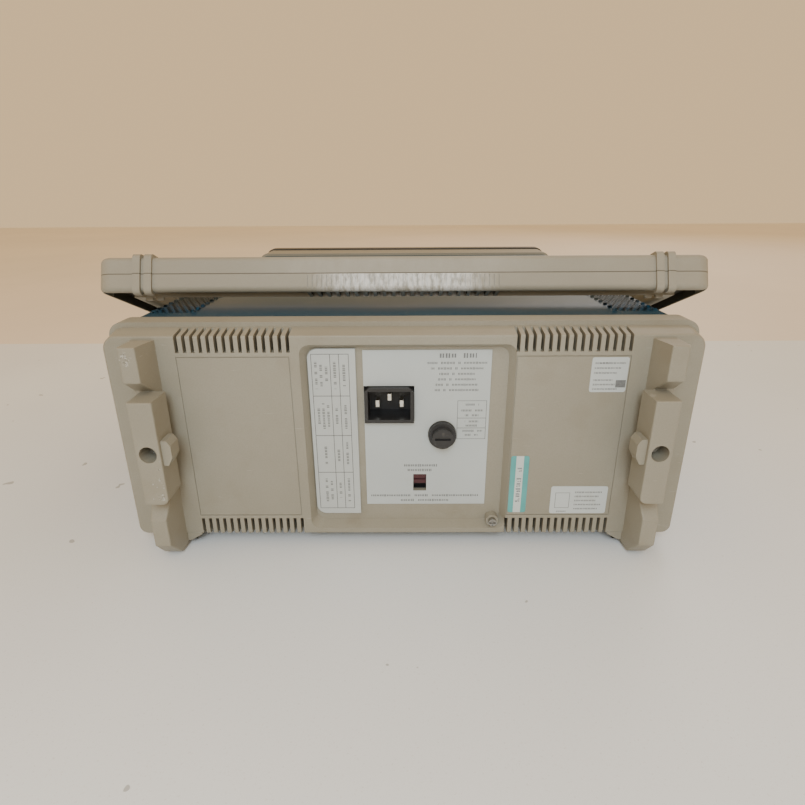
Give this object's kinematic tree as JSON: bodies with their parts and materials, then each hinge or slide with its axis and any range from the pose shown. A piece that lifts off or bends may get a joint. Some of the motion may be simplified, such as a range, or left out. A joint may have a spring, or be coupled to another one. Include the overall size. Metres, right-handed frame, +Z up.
{
  "type": "logic analyzer",
  "caption": "Portable bench logic analyzer in a blue sheet-metal case with a beige rear frame and a U-shaped carrying handle folded back over the top.",
  "frame": {"origin": "on the resting plane, below the middle of the instrument's bounding box", "axes": "+Y towards the rear panel, the front with its screen and keys faces -Y, +X to the right seen from the front, +Z up"},
  "size_m": [0.3844, 0.436, 0.1693],
  "materials": {
    "case_plastic": "moulded, satin",
    "handle_plastic": "moulded, grained",
    "trim_plastic": "moulded, satin",
    "blue_paint": "textured enamel",
    "zinc_steel": "zinc plated",
    "plated_steel": "zinc plated sheet",
    "hub_plastic": "moulded",
    "plate_grey": "printed, satin",
    "label_paper": "printed film",
    "board_green": "solder mask",
    "brass_post": "nickel plated",
    "ferrite": "sintered",
    "black_aluminium": "black anodised",
    "tube_glass": "phosphor-coated glass",
    "filter_tint": "tinted acrylic",
    "panel_paint": "fine-textured enamel",
    "black_plastic": "moulded",
    "nickel_pin": "nickel plated",
    "selector_red": "moulded",
    "foot_rubber": "soft",
    "key_plastic": "double-shot cap",
    "button_plastic": "moulded",
    "knob_plastic": "fluted"
  },
  "bodies": {
    "case": {"acquisition_board": "board_green", "board_posts": "brass_post", "cabinet_sleeve": "blue_paint", "case_screws": "zinc_steel", "chassis": "plated_steel", "control_panel": "panel_paint", "cord_wrap_foot_left": "case_plastic", "cord_wrap_foot_right": "case_plastic", "crt_bracket": "plated_steel", "crt_tube": "tube_glass", "deflection_yoke": "ferrite", "front_bezel": "case_plastic", "front_trim": "trim_plastic", "fuse_holder": "black_plastic", "fuse_table_plate": "plate_grey", "handle_hub_left": "hub_plastic", "handle_hub_right": "hub_plastic", "heat_sink": "black_aluminium", "inlet_pins": "nickel_pin", "intensity_control": "black_plastic", "key_board": "board_green", "main_board": "board_green", "mains_inlet": "black_plastic", "mains_transformer": "ferrite", "pod_connectors": "black_plastic", "pod_panel": "plated_steel", "power_supply_board": "board_green", "power_switch": "black_plastic", "rating_plate": "plate_grey", "rear_labels": "label_paper", "rear_panel": "case_plastic", "rubber_feet": "foot_rubber", "screen_filter": "filter_tint", "voltage_selector_body": "black_plastic"},
    "handle": {"handle_upper_shell": "handle_plastic", "handle_lower_shell": "handle_plastic"},
    "fuse_cap_body": {"fuse_cap": "black_plastic"},
    "selector_slider": {"voltage_selector_slider": "selector_red"},
    "power_button_body": {"power_button": "button_plastic"},
    "intensity_knob_body": {"intensity_knob": "knob_plastic"},
    "key_0_cap": {"key_0": "key_plastic"},
    "key_1_cap": {"key_1": "key_plastic"},
    "key_2_cap": {"key_2": "key_plastic"},
    "key_3_cap": {"key_3": "key_plastic"},
    "key_4_cap": {"key_4": "key_plastic"},
    "key_5_cap": {"key_5": "key_plastic"},
    "key_6_cap": {"key_6": "key_plastic"},
    "key_7_cap": {"key_7": "key_plastic"},
    "key_8_cap": {"key_8": "key_plastic"},
    "key_9_cap": {"key_9": "key_plastic"},
    "key_a_cap": {"key_a": "key_plastic"},
    "key_b_cap": {"key_b": "key_plastic"},
    "key_c_cap": {"key_c": "key_plastic"},
    "key_d_cap": {"key_d": "key_plastic"},
    "key_down_cap": {"key_down": "key_plastic"},
    "key_e_cap": {"key_e": "key_plastic"},
    "key_f_cap": {"key_f": "key_plastic"},
    "key_left_cap": {"key_left": "key_plastic"},
    "key_right_cap": {"key_right": "key_plastic"},
    "key_up_cap": {"key_up": "key_plastic"}
  },
  "joints": [
    {"name": "handle_swing", "type": "hinge", "parent": "case", "child": "handle", "pos_m": [0, -0.072, 0.073], "axis": [1, 0, 0], "range_deg": [0, 200]},
    {"name": "fuse_cap_turn", "type": "hinge", "parent": "case", "child": "fuse_cap_body", "pos_m": [-0.0224, 0.19, 0.0732], "axis": [0, 1, 0], "range_deg": [-90, 0]},
    {"name": "selector_slide", "type": "slide", "parent": "case", "child": "selector_slider", "axis": [0, 0, -1], "range_m": [0, 0.0048]},
    {"name": "power_press", "type": "slide", "parent": "case", "child": "power_button_body", "axis": [0, 1, 0], "range_m": [0, 0.003], "stiffness_N_per_m": 400},
    {"name": "intensity_turn", "type": "hinge", "parent": "case", "child": "intensity_knob_body", "pos_m": [-0.048, -0.21, 0.0255], "axis": [0, -1, 0], "range_deg": [-150, 150]},
    {"name": "key_0_press", "type": "slide", "parent": "case", "child": "key_0_cap", "axis": [0, 1, 0], "range_m": [0, 0.0015], "stiffness_N_per_m": 350},
    {"name": "key_1_press", "type": "slide", "parent": "case", "child": "key_1_cap", "axis": [0, 1, 0], "range_m": [0, 0.0015], "stiffness_N_per_m": 350},
    {"name": "key_2_press", "type": "slide", "parent": "case", "child": "key_2_cap", "axis": [0, 1, 0], "range_m": [0, 0.0015], "stiffness_N_per_m": 350},
    {"name": "key_3_press", "type": "slide", "parent": "case", "child": "key_3_cap", "axis": [0, 1, 0], "range_m": [0, 0.0015], "stiffness_N_per_m": 350},
    {"name": "key_4_press", "type": "slide", "parent": "case", "child": "key_4_cap", "axis": [0, 1, 0], "range_m": [0, 0.0015], "stiffness_N_per_m": 350},
    {"name": "key_5_press", "type": "slide", "parent": "case", "child": "key_5_cap", "axis": [0, 1, 0], "range_m": [0, 0.0015], "stiffness_N_per_m": 350},
    {"name": "key_6_press", "type": "slide", "parent": "case", "child": "key_6_cap", "axis": [0, 1, 0], "range_m": [0, 0.0015], "stiffness_N_per_m": 350},
    {"name": "key_7_press", "type": "slide", "parent": "case", "child": "key_7_cap", "axis": [0, 1, 0], "range_m": [0, 0.0015], "stiffness_N_per_m": 350},
    {"name": "key_8_press", "type": "slide", "parent": "case", "child": "key_8_cap", "axis": [0, 1, 0], "range_m": [0, 0.0015], "stiffness_N_per_m": 350},
    {"name": "key_9_press", "type": "slide", "parent": "case", "child": "key_9_cap", "axis": [0, 1, 0], "range_m": [0, 0.0015], "stiffness_N_per_m": 350},
    {"name": "key_a_press", "type": "slide", "parent": "case", "child": "key_a_cap", "axis": [0, 1, 0], "range_m": [0, 0.0015], "stiffness_N_per_m": 350},
    {"name": "key_b_press", "type": "slide", "parent": "case", "child": "key_b_cap", "axis": [0, 1, 0], "range_m": [0, 0.0015], "stiffness_N_per_m": 350},
    {"name": "key_c_press", "type": "slide", "parent": "case", "child": "key_c_cap", "axis": [0, 1, 0], "range_m": [0, 0.0015], "stiffness_N_per_m": 350},
    {"name": "key_d_press", "type": "slide", "parent": "case", "child": "key_d_cap", "axis": [0, 1, 0], "range_m": [0, 0.0015], "stiffness_N_per_m": 350},
    {"name": "key_down_press", "type": "slide", "parent": "case", "child": "key_down_cap", "axis": [0, 1, 0], "range_m": [0, 0.0015], "stiffness_N_per_m": 350},
    {"name": "key_e_press", "type": "slide", "parent": "case", "child": "key_e_cap", "axis": [0, 1, 0], "range_m": [0, 0.0015], "stiffness_N_per_m": 350},
    {"name": "key_f_press", "type": "slide", "parent": "case", "child": "key_f_cap", "axis": [0, 1, 0], "range_m": [0, 0.0015], "stiffness_N_per_m": 350},
    {"name": "key_left_press", "type": "slide", "parent": "case", "child": "key_left_cap", "axis": [0, 1, 0], "range_m": [0, 0.0015], "stiffness_N_per_m": 350},
    {"name": "key_right_press", "type": "slide", "parent": "case", "child": "key_right_cap", "axis": [0, 1, 0], "range_m": [0, 0.0015], "stiffness_N_per_m": 350},
    {"name": "key_up_press", "type": "slide", "parent": "case", "child": "key_up_cap", "axis": [0, 1, 0], "range_m": [0, 0.0015], "stiffness_N_per_m": 350}
  ]
}
